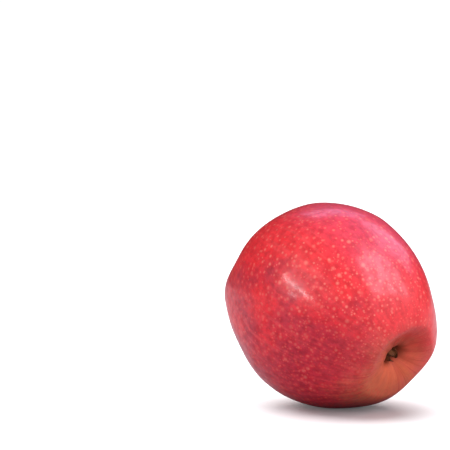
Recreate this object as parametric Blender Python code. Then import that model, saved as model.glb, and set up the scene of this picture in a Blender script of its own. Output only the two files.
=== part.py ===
"""A ripe red apple lying on its side, built from its own few pieces.

Pieces, one object each: fruit, stem, sepal_1 to sepal_5, and stamens. All of them hang under the empty
apple_core, which stands at the middle of the fruit and carries its tilt.

The apple's own frame has its origin on the core line, level with the widest ring. Its +Z runs along the
core line to the calyx end, and turn angles are counted round that line, starting from the underside.
The world frame has its origin in the middle of the flat spot that the fruit rests on, with +Z up and the
calyx end towards +X and down.
"""

from math import cos, pi, radians, sin

import bmesh
import bpy
import numpy as np
from mathutils import Matrix, Vector

# Overall sizes of the fruit, in metres, measured from the widest ring.
EQUATOR_RADIUS = 0.0377
CALYX_RISE = 0.0394
STEM_RISE = 0.0336

# The basin round the eye at the calyx end, and the cavity round the stem at the other end.
CALYX_RIM_RADIUS = 0.0152
BASIN_DEPTH = 0.0068
EYE_RADIUS = 0.0034
EYE_FILLET = 0.0008
EYE_STEP = 0.0004
STEM_RIM_RADIUS = 0.0196
CAVITY_DEPTH = 0.0113

# The basin's upper wall is drawn inwards from the eye's edge: how far, towards which turn angle in
# degrees, and the radii where the drawing in is deepest and where it ends.
BASIN_PULL = 0.0022
BASIN_PULL_TURN = 185.0
BASIN_PULL_DEEPEST = 0.0085
BASIN_PULL_END = 0.0165

# How far each shoulder curve keeps its direction, as a share of the way to its corner.
CALYX_SHOULDER_FULLNESS = (0.28, 0.59)
STEM_SHOULDER_FULLNESS = (0.31, 0.36)

# Swellings round the core line: each has a height and the turn angle of its first crest, in degrees.
CALYX_LOBE_HEIGHT = 0.00128
STEM_LOBE_HEIGHT = 0.00076
LOBE_COUNT = 5
LOBE_TURN = 25.5
OVAL_HEIGHT = 0.00180
OVAL_TURN = 16.5
TRIANGLE_HEIGHT = 0.00092
TRIANGLE_TURN = -27.5
CALYX_LEAN_HEIGHT = 0.00160
CALYX_LEAN_TURN = 113.0
STEM_LEAN_HEIGHT = 0.00310
STEM_LEAN_TURN = 8.5

# How the fruit lies: the dip of the core line towards the calyx end, and how deep the flat spot is cut.
CORE_DIP = 30.3
FLAT_DEPTH = 0.0006

# The dried pieces, and the gap that each keeps to the skin beside it.
CLEARANCE = 0.0003
STEM_LENGTH = 0.0105
STEM_RADIUS = 0.0012
STEM_FOOT_FLARE = 0.0005
STEM_TIP_FLARE = 0.0007
STEM_BEND = 0.0016
SEPAL_COUNT = 5
SEPAL_WIDTH = 0.0027
SEPAL_THICKNESS = 0.0004
SEPAL_HEIGHT = 0.0030
SEPAL_TIP_RADII = (0.0016, 0.0020, 0.0014, 0.0022, 0.0018)
SEPAL_TURN = 12.0
SEPAL_TWIST = 18.0
STAMEN_COUNT = 9
STAMEN_PAD_RADIUS = 0.0009
STAMEN_PAD_HEIGHT = 0.0004
STAMEN_SPREAD = 0.0005
STAMEN_HEIGHT = 0.0021
STAMEN_TAPER = 0.88
STYLE_RADIUS = 0.00025
STYLE_HEIGHT = 0.0018

# How finely the surfaces are divided.
COLUMNS = 60
EYE_ROWS = 3
BASIN_ROWS = 10
CALYX_SHOULDER_ROWS = 12
STEM_SHOULDER_ROWS = 12
CAVITY_ROWS = 8
STEM_SIDES = 12
SEPAL_SIDES = 8
SEPAL_ROWS = 10
STAMEN_ROWS = 4


def clear_scene():
    for thing in list(bpy.data.objects):
        bpy.data.objects.remove(thing, do_unlink=True)


def principled(name, colour, roughness):
    """A plain non-metal material for one kind of tissue."""
    material = bpy.data.materials.new(name)
    material.use_nodes = True
    shader = material.node_tree.nodes["Principled BSDF"]
    shader.inputs["Base Color"].default_value = (*colour, 1.0)
    shader.inputs["Roughness"].default_value = roughness
    shader.inputs["Metallic"].default_value = 0.0
    material.diffuse_color = (*colour, 1.0)
    return material


def bezier(start, first_handle, second_handle, end, rows):
    """Points along a cubic curve, with the end point left out."""
    t = np.arange(rows)[:, None] / rows
    corners = [np.array(point) for point in (start, first_handle, second_handle, end)]
    return (
        (1 - t) ** 3 * corners[0]
        + 3 * (1 - t) ** 2 * t * corners[1]
        + 3 * (1 - t) * t**2 * corners[2]
        + t**3 * corners[3]
    )


def half_section():
    """(radius, height) points from the middle of the eye, over the widest ring, to the stem's root."""
    eye_floor = CALYX_RISE - BASIN_DEPTH
    root = -STEM_RISE + CAVITY_DEPTH
    seat_radius = STEM_RADIUS + STEM_FOOT_FLARE + 2 * CLEARANCE
    eye_corner = (EYE_RADIUS, eye_floor + EYE_STEP)
    calyx_rim = (CALYX_RIM_RADIUS, CALYX_RISE)
    equator = (EQUATOR_RADIUS, 0.0)
    stem_rim = (STEM_RIM_RADIUS, -STEM_RISE)
    calyx_shoulder = EQUATOR_RADIUS - CALYX_RIM_RADIUS
    stem_shoulder = EQUATOR_RADIUS - STEM_RIM_RADIUS
    pieces = [
        bezier(
            (0.0, eye_floor),
            (EYE_RADIUS / 2, eye_floor),
            (EYE_RADIUS - EYE_FILLET, eye_floor),
            eye_corner,
            EYE_ROWS,
        ),
        bezier(
            eye_corner,
            (1.35 * EYE_RADIUS, eye_floor + 0.55 * BASIN_DEPTH),
            (0.45 * CALYX_RIM_RADIUS, CALYX_RISE),
            calyx_rim,
            BASIN_ROWS,
        ),
        bezier(
            calyx_rim,
            (CALYX_RIM_RADIUS + CALYX_SHOULDER_FULLNESS[0] * calyx_shoulder, CALYX_RISE),
            (EQUATOR_RADIUS, CALYX_SHOULDER_FULLNESS[1] * CALYX_RISE),
            equator,
            CALYX_SHOULDER_ROWS,
        ),
        bezier(
            equator,
            (EQUATOR_RADIUS, -STEM_SHOULDER_FULLNESS[0] * STEM_RISE),
            (STEM_RIM_RADIUS + STEM_SHOULDER_FULLNESS[1] * stem_shoulder, -STEM_RISE),
            stem_rim,
            STEM_SHOULDER_ROWS,
        ),
        bezier(
            stem_rim,
            (0.5 * STEM_RIM_RADIUS, -STEM_RISE),
            (0.2 * STEM_RIM_RADIUS, root - 0.15 * CAVITY_DEPTH),
            (seat_radius, root),
            CAVITY_ROWS,
        ),
        [(seat_radius, root), (0.0, root)],
    ]
    return np.vstack(pieces)


def ease(values, start, end):
    """Rises smoothly from 0 at the start value to 1 at the end value."""
    share = np.clip((values - start) / (end - start), 0.0, 1.0)
    return share * share * (3 - 2 * share)


def swell(points):
    """Gives turned points the soft lobes, the oval, the leaning rims and the uneven basin of a grown fruit.

    All of it fades out before the eye and the stem's root, which stay round, and the lobes and the
    leaning belong to the two ends.
    """
    radius = np.hypot(points[:, 0], points[:, 1])
    turn = np.arctan2(points[:, 1], points[:, 0])
    height = points[:, 2]
    fade = ease(radius, EYE_RADIUS, 0.38 * EQUATOR_RADIUS)
    calyx_end = np.clip((height / CALYX_RISE + 0.2) / 1.2, 0.0, 1.0) ** 2
    stem_end = np.clip((-height / STEM_RISE + 0.2) / 1.1, 0.0, 1.0) ** 2
    lobes = (calyx_end * CALYX_LOBE_HEIGHT + stem_end * STEM_LOBE_HEIGHT) * np.cos(
        LOBE_COUNT * (turn - radians(LOBE_TURN))
    )
    oval = OVAL_HEIGHT * np.cos(2 * (turn - radians(OVAL_TURN)))
    triangle = TRIANGLE_HEIGHT * np.cos(3 * (turn - radians(TRIANGLE_TURN)))
    stretch = 1 + fade * (lobes + oval + triangle) / EQUATOR_RADIUS
    calyx_lean = calyx_end * CALYX_LEAN_HEIGHT * np.cos(turn - radians(CALYX_LEAN_TURN))
    stem_lean = stem_end * STEM_LEAN_HEIGHT * np.cos(turn - radians(STEM_LEAN_TURN))
    drawn = ease(radius, EYE_RADIUS, BASIN_PULL_DEEPEST)
    drawn = drawn * (1 - ease(radius, BASIN_PULL_DEEPEST, BASIN_PULL_END))
    facing = 0.5 + 0.5 * np.cos(turn - radians(BASIN_PULL_TURN))
    pull = np.where(height > 0, BASIN_PULL * drawn * facing**2, 0.0)
    lift = fade * (calyx_lean - stem_lean) - pull
    return np.column_stack([points[:, 0] * stretch, points[:, 1] * stretch, height + lift])


def hang(name, mesh, material, core):
    """Puts a mesh into the scene as one smooth object under the core."""
    mesh.shade_smooth()
    mesh.materials.append(material)
    thing = bpy.data.objects.new(name, mesh)
    thing.parent = core
    bpy.context.scene.collection.objects.link(thing)
    return thing


def loft(rings):
    """A closed body through rings of points, given as (ring, side, xyz), with both ends capped."""
    body = bmesh.new()
    rows = [[body.verts.new(point) for point in ring] for ring in rings]
    sides = len(rows[0])
    for lower, upper in zip(rows, rows[1:]):
        for side in range(sides):
            after = (side + 1) % sides
            body.faces.new((lower[side], lower[after], upper[after], upper[side]))
    body.faces.new(rows[0])
    body.faces.new(rows[-1])
    bmesh.ops.recalc_face_normals(body, faces=body.faces)
    return body


def make_core():
    core = bpy.data.objects.new("apple_core", None)
    core.rotation_euler = (0.0, radians(90 + CORE_DIP), 0.0)
    bpy.context.scene.collection.objects.link(core)
    return core


def make_fruit(core, material):
    """The turned and swollen body, cut flat underneath, and the core set down so that it rests there."""
    body = bmesh.new()
    profile = [body.verts.new((radius, 0.0, height)) for radius, height in half_section()]
    edges = [body.edges.new(pair) for pair in zip(profile, profile[1:])]
    bmesh.ops.spin(
        body,
        geom=profile + edges,
        cent=(0, 0, 0),
        axis=(0, 0, 1),
        angle=2 * pi,
        steps=COLUMNS,
        use_merge=True,
    )
    bmesh.ops.remove_doubles(body, verts=body.verts, dist=1e-6)
    swollen = swell(np.array([vertex.co for vertex in body.verts], dtype=float))
    for vertex, place in zip(body.verts, swollen):
        vertex.co = place
    bmesh.ops.recalc_face_normals(body, faces=body.faces)

    tilt = Matrix.Rotation(radians(90 + CORE_DIP), 3, "Y")
    down = tilt.transposed() @ Vector((0, 0, -1))
    reach = max(vertex.co.dot(down) for vertex in body.verts) - FLAT_DEPTH
    everything = body.verts[:] + body.edges[:] + body.faces[:]
    cut = bmesh.ops.bisect_plane(
        body, geom=everything, plane_co=down * reach, plane_no=down, clear_outer=True
    )
    rim = [item for item in cut["geom_cut"] if isinstance(item, bmesh.types.BMEdge)]
    filled = bmesh.ops.edgeloop_fill(body, edges=rim)
    flat_spot = filled["faces"][0]
    core.location = -(tilt @ flat_spot.calc_center_median_weighted())
    bmesh.ops.recalc_face_normals(body, faces=body.faces)

    mesh = bpy.data.meshes.new("fruit")
    body.to_mesh(mesh)
    body.free()
    thing = hang("fruit", mesh, material, core)
    mesh.set_sharp_from_angle(angle=radians(40))
    return thing


def make_stem(core, material):
    """A short bent stalk, narrow in its middle, standing in the stem cavity."""
    along = np.linspace(0.0, 1.0, 15)
    foot = -STEM_RISE + CAVITY_DEPTH - CLEARANCE
    flare = STEM_FOOT_FLARE * (1 - along) ** 3 + STEM_TIP_FLARE * along**6
    radii = STEM_RADIUS + flare
    radii[-1] *= 0.8
    turns = np.arange(STEM_SIDES) * 2 * pi / STEM_SIDES
    rings = [
        [
            (
                STEM_BEND * step**2 + radius * cos(turn),
                radius * sin(turn),
                foot - STEM_LENGTH * step,
            )
            for turn in turns
        ]
        for step, radius in zip(along, radii)
    ]
    body = loft(rings)
    mesh = bpy.data.meshes.new("stem")
    body.to_mesh(mesh)
    body.free()
    return hang("stem", mesh, material, core)


def make_sepal(core, material, number):
    """One dried sepal: a narrow leaf that stands at the edge of the eye and leans in over it.

    Each one is twisted on its own length, so that the five lap past each other like the blades of a fan.
    """
    foot_radius = EYE_RADIUS - EYE_FILLET - CLEARANCE - SEPAL_THICKNESS / 2
    foot_height = CALYX_RISE - BASIN_DEPTH + EYE_STEP + CLEARANCE
    spine = bezier(
        (foot_radius, foot_height),
        (foot_radius + EYE_FILLET, foot_height + 0.4 * SEPAL_HEIGHT),
        (foot_radius, foot_height + 0.8 * SEPAL_HEIGHT),
        (SEPAL_TIP_RADII[number - 1], foot_height + SEPAL_HEIGHT),
        SEPAL_ROWS,
    )
    direction = np.gradient(spine, axis=0)
    direction /= np.linalg.norm(direction, axis=1)[:, None]
    along = np.linspace(0.0, 1.0, SEPAL_ROWS)
    half_widths = SEPAL_WIDTH / 2 * (0.12 + 0.88 * (1 - along) ** 0.7 * (0.85 + 0.6 * along))
    half_depths = SEPAL_THICKNESS / 2 * (1 - 0.5 * along)
    sides = np.arange(SEPAL_SIDES) * 2 * pi / SEPAL_SIDES
    across = half_widths[:, None] * np.cos(sides)
    through = half_depths[:, None] * np.sin(sides)
    outward, upward = direction[:, 1, None], -direction[:, 0, None]
    twist = radians(SEPAL_TWIST)
    rings = np.stack(
        [
            spine[:, :1] + through * outward * cos(twist) + across * sin(twist),
            across * cos(twist) - through * outward * sin(twist),
            spine[:, 1:] + through * upward,
        ],
        axis=-1,
    )
    body = loft(rings)
    place = radians(SEPAL_TURN + number * 360 / SEPAL_COUNT)
    bmesh.ops.rotate(body, verts=body.verts, cent=(0, 0, 0), matrix=Matrix.Rotation(place, 3, "Z"))
    name = f"sepal_{number}"
    mesh = bpy.data.meshes.new(name)
    body.to_mesh(mesh)
    body.free()
    return hang(name, mesh, material, core)


def make_stamens(core, material):
    """The dried tuft in the middle of the eye: a low pad, a ring of filaments and one style, in one piece."""
    foot = CALYX_RISE - BASIN_DEPTH + CLEARANCE
    columns = 2 * STAMEN_COUNT
    turns = np.arange(columns) * 2 * pi / columns
    steps = [
        (STAMEN_PAD_RADIUS, 0.0),
        (STAMEN_PAD_RADIUS, STAMEN_PAD_HEIGHT / 2),
        (STAMEN_PAD_RADIUS / 2, STAMEN_PAD_HEIGHT),
        (STYLE_RADIUS, STAMEN_PAD_HEIGHT),
        (0.8 * STYLE_RADIUS, STYLE_HEIGHT / 2),
        (0.6 * STYLE_RADIUS, STYLE_HEIGHT),
    ]
    tuft = loft([[(r * cos(turn), r * sin(turn), foot + h) for turn in turns] for r, h in steps])
    tuft.faces.ensure_lookup_table()
    roots = [tuft.faces[columns + 2 * number] for number in range(STAMEN_COUNT)]
    for number, root in enumerate(roots):
        height = STAMEN_HEIGHT * (0.85 + 0.15 * cos(4 * number))
        away = root.calc_center_median()
        away.z = 0.0
        away.normalize()
        tip = root
        for step in range(STAMEN_ROWS):
            tip = bmesh.ops.extrude_discrete_faces(tuft, faces=[tip])["faces"][0]
            spread = STAMEN_SPREAD * (2 * step + 1) / STAMEN_ROWS**2
            bmesh.ops.translate(
                tuft, verts=tip.verts, vec=away * spread + Vector((0, 0, height / STAMEN_ROWS))
            )
            middle = tip.calc_center_median()
            for vertex in tip.verts:
                vertex.co = middle + (vertex.co - middle) * STAMEN_TAPER
    bmesh.ops.recalc_face_normals(tuft, faces=tuft.faces)
    mesh = bpy.data.meshes.new("stamens")
    tuft.to_mesh(mesh)
    tuft.free()
    return hang("stamens", mesh, material, core)


def build():
    clear_scene()
    skin = principled("skin", (0.50, 0.022, 0.030), 0.30)
    bark = principled("bark", (0.10, 0.055, 0.025), 0.80)
    husk = principled("husk", (0.085, 0.045, 0.022), 0.85)
    thread = principled("thread", (0.16, 0.10, 0.05), 0.85)
    core = make_core()
    make_fruit(core, skin)
    make_stem(core, bark)
    for number in range(1, SEPAL_COUNT + 1):
        make_sepal(core, husk, number)
    make_stamens(core, thread)


build()
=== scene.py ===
"""Looks of a ripe red apple that lies on its side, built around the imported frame.

The fruit, its stem, its five sepals and its stamens are surfaces worked out with numpy. Each takes the place
of the plain CAD node of the same name. All sizes are in metres unless a name says otherwise.

Apple coordinates have their origin on the core line, level with the widest ring. Their +Z runs along the
core line to the calyx end, and turn angles are counted round it from the underside.
"""

import logging
from dataclasses import dataclass
from enum import Enum
from functools import partial, reduce
from math import cos, pi, radians, sin

import bpy
import numpy as np
from mathutils import Matrix, Vector


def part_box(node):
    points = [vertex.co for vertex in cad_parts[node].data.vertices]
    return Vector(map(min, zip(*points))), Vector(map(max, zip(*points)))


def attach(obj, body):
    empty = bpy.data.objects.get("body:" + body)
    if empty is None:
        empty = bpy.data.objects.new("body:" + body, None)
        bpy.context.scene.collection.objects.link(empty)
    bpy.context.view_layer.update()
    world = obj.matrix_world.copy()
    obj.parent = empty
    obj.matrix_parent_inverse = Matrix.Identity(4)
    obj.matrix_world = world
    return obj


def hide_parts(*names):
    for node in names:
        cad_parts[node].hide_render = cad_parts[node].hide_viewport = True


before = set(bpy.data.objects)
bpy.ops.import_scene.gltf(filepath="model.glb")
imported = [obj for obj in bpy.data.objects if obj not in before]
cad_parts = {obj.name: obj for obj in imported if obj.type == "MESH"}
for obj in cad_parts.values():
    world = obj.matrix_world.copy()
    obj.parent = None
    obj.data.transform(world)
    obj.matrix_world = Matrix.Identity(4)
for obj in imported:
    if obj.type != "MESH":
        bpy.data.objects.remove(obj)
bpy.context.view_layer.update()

MM = 0.001
TINY = 1e-12

log = logging.getLogger("apple")
Array = np.ndarray
Colour = tuple[int, int, int]
Faces = list[tuple[int, ...]]
Socket = bpy.types.NodeSocket
Numbers = tuple[float, ...]
Value = Socket | float | Numbers


class Slot(Enum):
    """The record's material slots."""

    SKIN = "skin"
    BARK = "bark"
    HUSK = "husk"
    THREAD = "thread"


def smooth_step(value: Array, low: float, high: float) -> Array:
    """Rises from 0 at low to 1 at high along the cubic 3x^2 - 2x^3.

    Args:
        value: Numbers to place between the two ends.
        low: Where the rise starts.
        high: Where the rise ends.

    Returns:
        The risen share, the same shape as value.
    """
    share = np.clip((value - low) / (high - low), 0.0, 1.0)
    return share * share * (3.0 - 2.0 * share)


def bell(value: Array, middle: float, width: float) -> Array:
    """The bell curve e^-((value - middle) / width)^2."""
    return np.exp(-(((value - middle) / width) ** 2))


def bezier(corners: Array, rows: int) -> Array:
    """Points along a cubic Bezier curve, with its end point left out.

    Each point is the sum of the four corners weighted by (1-t)^3, 3(1-t)^2 t, 3(1-t) t^2 and t^3.

    Args:
        corners: The start, the two handles and the end, as a (4, 2) array.
        rows: How many points to return.

    Returns:
        A (rows, 2) array.
    """
    t = (np.arange(rows) / rows)[:, None]
    return (
        (1 - t) ** 3 * corners[0]
        + 3 * (1 - t) ** 2 * t * corners[1]
        + 3 * (1 - t) * t**2 * corners[2]
        + t**3 * corners[3]
    )


def ripple(points: Array, waves: Array, phases: Array) -> Array:
    """A smooth bumpy field: the mean of the sines of (wave . point + phase) over all waves.

    Args:
        points: Places, as (..., 3).
        waves: One wave vector a row, as (n, 3), in radians a metre.
        phases: One phase for each wave.

    Returns:
        The field, from about -1 to 1, with the shape of points without its last axis.
    """
    return np.sin(points @ waves.T + phases).mean(axis=-1)


@dataclass(frozen=True)
class Division:
    """How many rows each stretch of the half section gets, and how many columns go round."""

    columns: int
    eye: int
    basin: int
    calyx_shoulder: int
    stem_shoulder: int
    cavity: int
    seat: int


CAD_DIVISION = Division(60, 3, 10, 12, 12, 8, 1)
SKIN_DIVISION = Division(448, 6, 40, 58, 60, 36, 3)


@dataclass(frozen=True)
class AppleForm:
    """The shape of the fruit: its half section, its swellings and how it lies."""

    equator_radius: float = 0.0377
    calyx_rise: float = 0.0394
    stem_rise: float = 0.0336
    calyx_rim_radius: float = 0.0152
    basin_depth: float = 0.0068
    eye_radius: float = 0.0034
    eye_fillet: float = 0.0008
    eye_step: float = 0.0004
    stem_rim_radius: float = 0.0196
    cavity_depth: float = 0.0113
    seat_radius: float = 0.0023
    calyx_fullness: tuple[float, float] = (0.28, 0.59)
    stem_fullness: tuple[float, float] = (0.31, 0.36)
    calyx_lobe: float = 0.00128
    stem_lobe: float = 0.00076
    lobe_count: int = 5
    lobe_turn: float = 25.5
    oval: tuple[float, float] = (0.00180, 16.5)
    triangle: tuple[float, float] = (0.00092, -27.5)
    calyx_lean: tuple[float, float] = (0.00160, 113.0)
    stem_lean: tuple[float, float] = (0.00310, 8.5)
    basin_pull: tuple[float, float] = (0.0022, 185.0)
    basin_pull_reach: tuple[float, float] = (0.0085, 0.0165)
    core_dip: float = 30.3
    eye_handle: tuple[float, float] = (1.35, 0.55)
    rim_handle: float = 0.45
    cavity_handles: tuple[float, float, float] = (0.5, 0.2, 0.15)
    fade_reach: float = 0.38
    calyx_fade: tuple[float, float] = (0.2, 1.2)
    stem_fade: tuple[float, float] = (0.2, 1.1)

    @property
    def eye_floor(self) -> float:
        """Height of the middle of the eye along the core line."""
        return self.calyx_rise - self.basin_depth

    @property
    def stem_root(self) -> float:
        """Height of the stem's root along the core line."""
        return -self.stem_rise + self.cavity_depth

    def half_section(self, division: Division) -> tuple[Array, Array]:
        """The outline from the middle of the eye, over the widest ring, to the stem's root.

        Args:
            division: How many rows each stretch gets.

        Returns:
            (radius, height) points as (rows, 2), and each point's share of the way along, from 0 to 1.
        """
        eye_corner = (self.eye_radius, self.eye_floor + self.eye_step)
        calyx_rim = (self.calyx_rim_radius, self.calyx_rise)
        equator = (self.equator_radius, 0.0)
        stem_rim = (self.stem_rim_radius, -self.stem_rise)
        eye_out, eye_up = self.eye_handle
        calyx_shoulder = self.equator_radius - self.calyx_rim_radius
        stem_shoulder = self.equator_radius - self.stem_rim_radius
        outer, inner, sag = self.cavity_handles
        stretches = [
            (
                (0.0, self.eye_floor),
                (self.eye_radius / 2, self.eye_floor),
                (self.eye_radius - self.eye_fillet, self.eye_floor),
                eye_corner,
                division.eye,
            ),
            (
                eye_corner,
                (eye_out * self.eye_radius, self.eye_floor + eye_up * self.basin_depth),
                (self.rim_handle * self.calyx_rim_radius, self.calyx_rise),
                calyx_rim,
                division.basin,
            ),
            (
                calyx_rim,
                (self.calyx_rim_radius + self.calyx_fullness[0] * calyx_shoulder, self.calyx_rise),
                (self.equator_radius, self.calyx_fullness[1] * self.calyx_rise),
                equator,
                division.calyx_shoulder,
            ),
            (
                equator,
                (self.equator_radius, -self.stem_fullness[0] * self.stem_rise),
                (self.stem_rim_radius + self.stem_fullness[1] * stem_shoulder, -self.stem_rise),
                stem_rim,
                division.stem_shoulder,
            ),
            (
                stem_rim,
                (outer * self.stem_rim_radius, -self.stem_rise),
                (inner * self.stem_rim_radius, self.stem_root - sag * self.cavity_depth),
                (self.seat_radius, self.stem_root),
                division.cavity,
            ),
        ]
        rows = [bezier(np.array(corners), count) for *corners, count in stretches]
        seat = np.linspace((self.seat_radius, self.stem_root), (0.0, self.stem_root), division.seat + 1)
        outline = np.vstack([*rows, seat])
        steps = np.hypot(*np.diff(outline, axis=0).T)
        along = np.concatenate([[0.0], np.cumsum(steps)])
        return outline, along / along[-1]

    def swell(self, points: Array) -> Array:
        """Adds the lobes, the oval, the three-sidedness, the leaning rims and the uneven basin.

        Radii are stretched by 1 + fade * (sum of cosines of 5, 2 and 3 times the turn) / equator radius,
        and heights lifted by fade * (calyx lean - stem lean), where fade is 0 at the eye and the stem.
        The basin's upper wall is drawn in by pull * (0.5 + 0.5 cosine of the turn from its side) squared.

        Args:
            points: Turned places in apple coordinates, as (..., 3).

        Returns:
            The swollen places, the same shape.
        """
        radius = np.hypot(points[..., 0], points[..., 1])
        turn = np.arctan2(points[..., 1], points[..., 0])
        height = points[..., 2]
        fade = smooth_step(radius, self.eye_radius, self.fade_reach * self.equator_radius)
        calyx_start, calyx_span = self.calyx_fade
        stem_start, stem_span = self.stem_fade
        calyx_end = np.clip((height / self.calyx_rise + calyx_start) / calyx_span, 0.0, 1.0) ** 2
        stem_end = np.clip((-height / self.stem_rise + stem_start) / stem_span, 0.0, 1.0) ** 2
        lobes = (calyx_end * self.calyx_lobe + stem_end * self.stem_lobe) * np.cos(
            self.lobe_count * (turn - radians(self.lobe_turn))
        )
        oval = self.oval[0] * np.cos(2 * (turn - radians(self.oval[1])))
        triangle = self.triangle[0] * np.cos(3 * (turn - radians(self.triangle[1])))
        stretch = 1 + fade * (lobes + oval + triangle) / self.equator_radius
        calyx_lean = calyx_end * self.calyx_lean[0] * np.cos(turn - radians(self.calyx_lean[1]))
        stem_lean = stem_end * self.stem_lean[0] * np.cos(turn - radians(self.stem_lean[1]))
        deepest, end = self.basin_pull_reach
        pulled = smooth_step(radius, self.eye_radius, deepest) * (1 - smooth_step(radius, deepest, end))
        facing_pull = 0.5 + 0.5 * np.cos(turn - radians(self.basin_pull[1]))
        pull = np.where(height > 0, self.basin_pull[0] * pulled * facing_pull**2, 0.0)
        lift = fade * (calyx_lean - stem_lean) - pull
        return np.stack([points[..., 0] * stretch, points[..., 1] * stretch, height + lift], axis=-1)

    def turned(self, division: Division) -> tuple[Array, Array, Array]:
        """The swollen surface on a grid of rows (eye to stem) and columns (round the core line).

        Args:
            division: How fine the grid is.

        Returns:
            Places in apple coordinates as (rows, columns, 3), turns as (columns,), and along as (rows,).
        """
        outline, along = self.half_section(division)
        turns = np.arange(division.columns) * 2 * pi / division.columns
        ring = np.stack([np.cos(turns), np.sin(turns)], axis=-1)
        flat = outline[:, None, :1] * ring[None]
        heights = np.broadcast_to(outline[:, 1, None, None], (*flat.shape[:2], 1))
        return self.swell(np.concatenate([flat, heights], axis=-1)), turns, along

    def tilt(self) -> Array:
        """The 3 x 3 matrix that turns apple directions into world ones: a turn about +Y."""
        angle = radians(90.0 + self.core_dip)
        return np.array([[cos(angle), 0.0, sin(angle)], [0.0, 1.0, 0.0], [-sin(angle), 0.0, cos(angle)]])


@dataclass(frozen=True)
class Place:
    """Where the apple lies in the world: its tilt, and the core point found from the CAD fruit's box."""

    tilt: Array
    core: Array

    @classmethod
    def of(cls, form: AppleForm) -> "Place":
        """Finds the core point by comparing the CAD fruit's top corner with the same coarse grid.

        Args:
            form: The fruit's form, whose coarse grid is the CAD fruit's.

        Returns:
            The place.
        """
        coarse = form.turned(CAD_DIVISION)[0].reshape(-1, 3) @ form.tilt().T
        return cls(form.tilt(), np.array(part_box("fruit")[1]) - coarse.max(axis=0))

    def world(self, points: Array) -> Array:
        """Turns and moves apple coordinates into the world."""
        return points @ self.tilt.T + self.core

    def down(self) -> Array:
        """The world's down direction in apple coordinates."""
        return -self.tilt[2]


def grid_faces(rows: int, columns: int) -> Array:
    """Quads of a grid whose columns close into a ring, wound so that rows running down face outwards.

    Args:
        rows: How many rings.
        columns: How many points in a ring.

    Returns:
        Four point numbers for each face, as (n, 4).
    """
    row = np.arange(rows - 1)[:, None] * columns
    here = np.arange(columns)[None]
    after = (here + 1) % columns
    quads = np.stack([row + here, row + columns + here, row + columns + after, row + after], axis=-1)
    return quads.reshape(-1, 4)


def ring_body(rings: Array) -> tuple[Array, Faces]:
    """Closes a stack of rings into a body: a fan of triangles to a middle point shuts each end.

    Args:
        rings: Places as (rows, columns, 3).

    Returns:
        The points as (n, 3), with the two middle points last, and the faces.
    """
    rows, columns = rings.shape[:2]
    middles = np.stack([rings[0].mean(axis=0), rings[-1].mean(axis=0)])
    here = np.arange(columns)
    after = (here + 1) % columns
    first, last = rows * columns, (rows - 1) * columns
    upper = np.stack([np.full(columns, first), here, after], axis=-1)
    lower = np.stack([np.full(columns, first + 1), last + after, last + here], axis=-1)
    faces = grid_faces(rows, columns).tolist() + upper.tolist() + lower.tolist()
    return np.vstack([rings.reshape(-1, 3), middles]), faces


def carried(spine: Array, wide: Array, deep: Array, side: Array, columns: int) -> Array:
    """Carries an oval profile along a path.

    Each ring is path + wide * cos(s) * side + deep * sin(s) * up, where side is kept square to the path
    and up is the cross product of side and the path's direction.

    Args:
        spine: The path as (rows, 3).
        wide: Half the profile's width at each row.
        deep: Half the profile's depth at each row.
        side: The direction of the width.
        columns: How many points in a ring.

    Returns:
        Rings as (rows, columns, 3), wound to face outwards.
    """
    ahead = np.gradient(spine, axis=0)
    ahead /= np.linalg.norm(ahead, axis=1, keepdims=True)
    across = side - (ahead @ side)[:, None] * ahead
    across /= np.linalg.norm(across, axis=1, keepdims=True)
    up = np.cross(across, ahead)
    s = np.arange(columns) * 2 * pi / columns
    return (
        spine[:, None]
        + (wide[:, None] * np.cos(s))[..., None] * across[:, None]
        + (deep[:, None] * np.sin(s))[..., None] * up[:, None]
    )


def ring_marks(turns: Array, along: Array) -> Array:
    """The vector (cosine of turn, sine of turn, along) for each point of a ring body.

    Args:
        turns: The turn of each column.
        along: The share along the piece of each row.

    Returns:
        One vector for each point, as (n, 3), with the two middle points last.
    """
    marks = np.empty((len(along), len(turns), 3))
    marks[..., 0] = np.cos(turns)
    marks[..., 1] = np.sin(turns)
    marks[..., 2] = along[:, None]
    ends = [(0.0, 0.0, along[0]), (0.0, 0.0, along[-1])]
    return np.vstack([marks.reshape(-1, 3), ends])


def gathered(bodies: list[tuple[Array, Faces]]) -> tuple[Array, Faces]:
    """Puts several closed bodies into one list of points and one of faces.

    Args:
        bodies: Each body's points and faces.

    Returns:
        All the points, and all the faces with their point numbers moved on.
    """
    points: list[Array] = []
    faces: Faces = []
    count = 0
    for body_points, body_faces in bodies:
        faces += [tuple(number + count for number in face) for face in body_faces]
        points.append(body_points)
        count += len(body_points)
    return np.vstack(points), faces


def make_piece(name: str, points: Array, faces: Faces, marks: Array) -> bpy.types.Object:
    """Puts points and faces into a smooth mesh object at the origin.

    Args:
        name: The piece's name.
        points: Places in the world as (n, 3).
        faces: Point numbers of each face.
        marks: One vector for each point, stored as "meridian" for the finish to read.

    Returns:
        The new object, linked to the scene.
    """
    mesh = bpy.data.meshes.new(name)
    mesh.from_pydata(points.tolist(), [], faces)
    mesh.shade_smooth()
    mesh.update()
    attribute = mesh.attributes.new("meridian", "FLOAT_VECTOR", "POINT")
    attribute.data.foreach_set("vector", marks.astype(np.float32).ravel())
    piece = bpy.data.objects.new(name, mesh)
    bpy.context.scene.collection.objects.link(piece)
    return piece


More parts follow.
